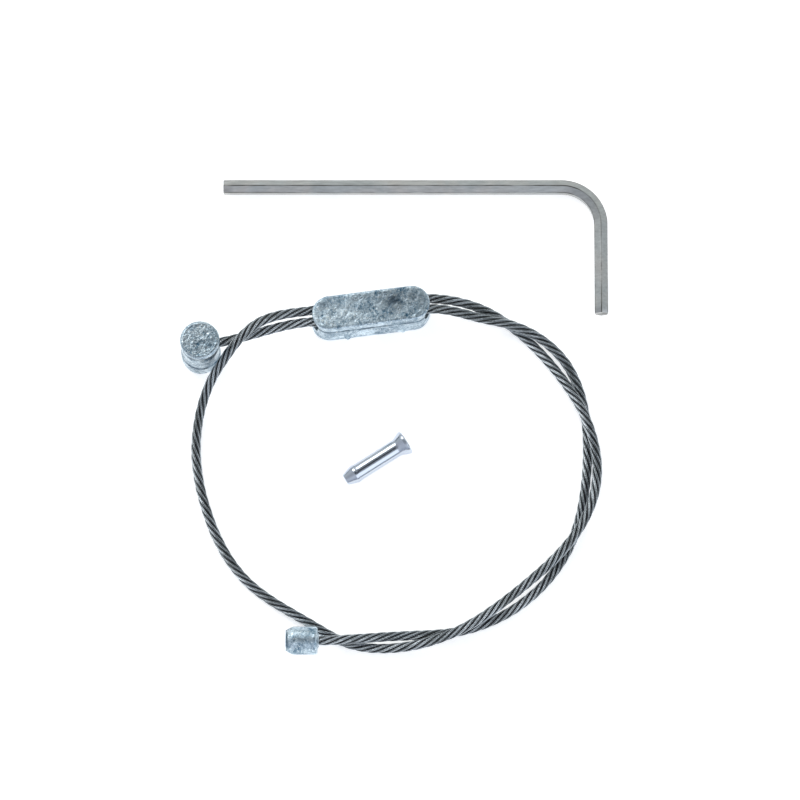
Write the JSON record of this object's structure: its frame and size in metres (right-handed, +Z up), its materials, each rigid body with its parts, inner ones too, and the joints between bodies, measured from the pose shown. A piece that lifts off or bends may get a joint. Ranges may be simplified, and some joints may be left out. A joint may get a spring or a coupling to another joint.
{
  "type": "window restrictor cable",
  "caption": "Steel wire rope with a barrel nipple and a small nipple, doubled through a clamp block, with crimp ferrule and hex key.",
  "frame": {"origin": "On the surface that the pieces lie on, under the middle of the box around the solid pieces without the rope.", "axes": "+X to the right along the hex key's long arm, +Y from the small nipple towards the hex key, +Z up from the surface."},
  "size_m": [0.0648, 0.0746, 0.009],
  "materials": {
    "wire_rope": "bright stranded steel wire, slightly dull",
    "barrel_zinc": "rough as-cast zinc with a bright rim",
    "nipple_zinc": "as-cast zinc, satin",
    "block_zinc": "mottled as-cast zinc, semi bright",
    "screw_steel": "black oxide",
    "ferrule_metal": "polished",
    "key_steel": "drawn nickel plated steel, satin"
  },
  "bodies": {
    "cable": {"wire_rope": "wire_rope", "barrel_nipple": "barrel_zinc", "end_nipple": "nipple_zinc"},
    "block": {"clamp_block": "block_zinc"},
    "screw_left": {"grub_screw_left": "screw_steel"},
    "screw_right": {"grub_screw_right": "screw_steel"},
    "key": {"hex_key": "key_steel"},
    "ferrule": {"crimp_ferrule": "ferrule_metal"}
  },
  "joints": [
    {"name": "block_slide", "type": "slide", "parent": "cable", "child": "block", "axis": [0.9914, 0.1305, 0], "range_m": [-0.0015, 0.0015]},
    {"name": "screw_left_turn", "type": "hinge", "parent": "block", "child": "screw_left", "pos_m": [-0.00975, 0.01504, 0], "axis": [0, 0, 1], "range_deg": [0, 540]},
    {"name": "screw_right_turn", "type": "hinge", "parent": "block", "child": "screw_right", "pos_m": [0.00255, 0.01666, 0], "axis": [0, 0, 1], "range_deg": [0, 540]},
    {"name": "key_lift", "type": "slide", "parent": "cable", "child": "key", "axis": [0, 0, 1], "range_m": [0, 0.03]},
    {"name": "ferrule_lift", "type": "slide", "parent": "cable", "child": "ferrule", "axis": [0, 0, 1], "range_m": [0, 0.03]}
  ]
}
